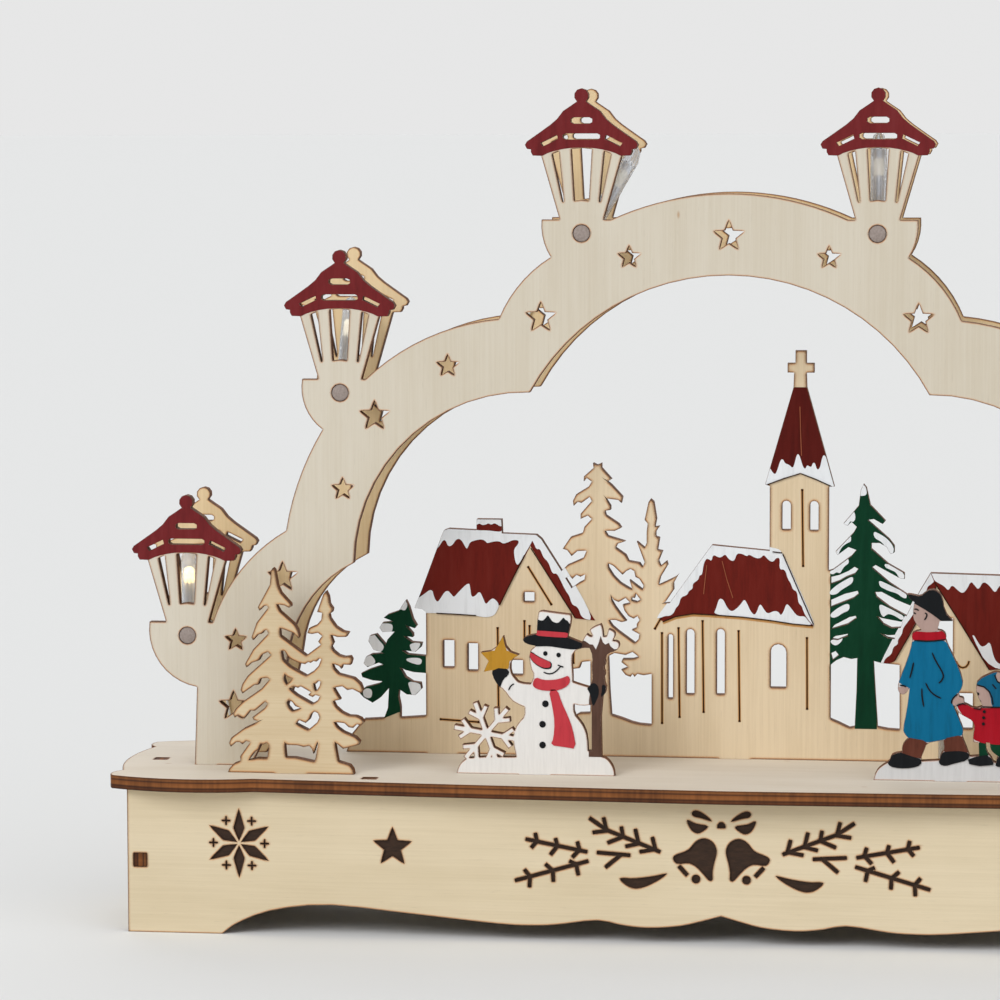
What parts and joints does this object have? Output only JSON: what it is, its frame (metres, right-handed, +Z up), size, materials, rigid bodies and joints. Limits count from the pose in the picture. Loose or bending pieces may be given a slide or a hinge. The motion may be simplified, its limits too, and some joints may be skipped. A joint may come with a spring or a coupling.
{
  "type": "light-up christmas house",
  "caption": "Lit plywood candle arch with lanterns over a snowy village scene, with painted figures in front, on a hollow box base that holds a battery case.",
  "frame": {"origin": "on the table, under the middle of the base", "axes": "+X to the viewer's right along the base, +Y from the front to the back, +Z up"},
  "size_m": [0.466, 0.1008, 0.3179],
  "materials": {
    "base_plywood": "bare birch plywood, sanded",
    "arch_plywood": "bare birch plywood, sanded",
    "painted_plywood": "birch plywood with matt painted areas and browned laser-cut edges",
    "white_figure": "plywood with matt white paint",
    "blue_figure": "plywood with matt blue paint",
    "dowel_wood": "bare beech dowel",
    "clear_tube": "clear moulded plastic",
    "warm_light": "warm white light emitting diode on its leads",
    "case_plastic": "fine texture",
    "cell_sleeve": "gloss sleeve",
    "spring_steel": "nickel plated",
    "switch_plastic": "satin",
    "screw_zinc": "zinc plated",
    "lead_wire": "thin sleeve"
  },
  "bodies": {
    "stand": {"base_front_panel": "base_plywood", "base_back_panel": "base_plywood", "base_side_left": "base_plywood", "base_side_right": "base_plywood", "top_plate": "base_plywood", "arch_front_panel": "painted_plywood", "arch_back_panel": "arch_plywood", "village_panel": "painted_plywood", "fir_trees_left": "painted_plywood", "fir_trees_right": "painted_plywood", "snowman_panel": "white_figure", "strollers_panel": "blue_figure", "dowel_1": "dowel_wood", "dowel_2": "dowel_wood", "dowel_3": "dowel_wood", "dowel_4": "dowel_wood", "dowel_5": "dowel_wood", "dowel_6": "dowel_wood", "lamp_tube_1": "clear_tube", "lamp_tube_2": "clear_tube", "lamp_tube_3": "clear_tube", "lamp_tube_4": "clear_tube", "lamp_tube_5": "clear_tube", "lamp_tube_6": "clear_tube", "lamp_tube_7": "clear_tube", "lamp_tube_8": "clear_tube", "lamp_light_1": "warm_light", "lamp_light_2": "warm_light", "lamp_light_3": "warm_light", "lamp_light_4": "warm_light", "lamp_light_5": "warm_light", "lamp_light_6": "warm_light", "lamp_light_7": "warm_light", "lamp_light_8": "warm_light", "battery_case": "case_plastic", "battery_cell_1": "cell_sleeve", "battery_cell_2": "cell_sleeve", "battery_cell_3": "cell_sleeve", "contact_strip_1": "spring_steel", "contact_strip_2": "spring_steel", "case_screw_1": "screw_zinc", "case_screw_2": "screw_zinc", "case_screw_3": "screw_zinc", "case_screw_4": "screw_zinc", "wire_left": "lead_wire", "wire_right": "lead_wire"},
    "cover": {"battery_cover": "case_plastic"},
    "switch": {"switch_slider": "switch_plastic"}
  },
  "joints": [
    {"name": "battery_cover_slide", "type": "slide", "parent": "stand", "child": "cover", "axis": [-1, 0, 0], "range_m": [0, 0.045]},
    {"name": "switch_slide", "type": "slide", "parent": "stand", "child": "switch", "axis": [0, 1, 0], "range_m": [0, 0.003]}
  ]
}
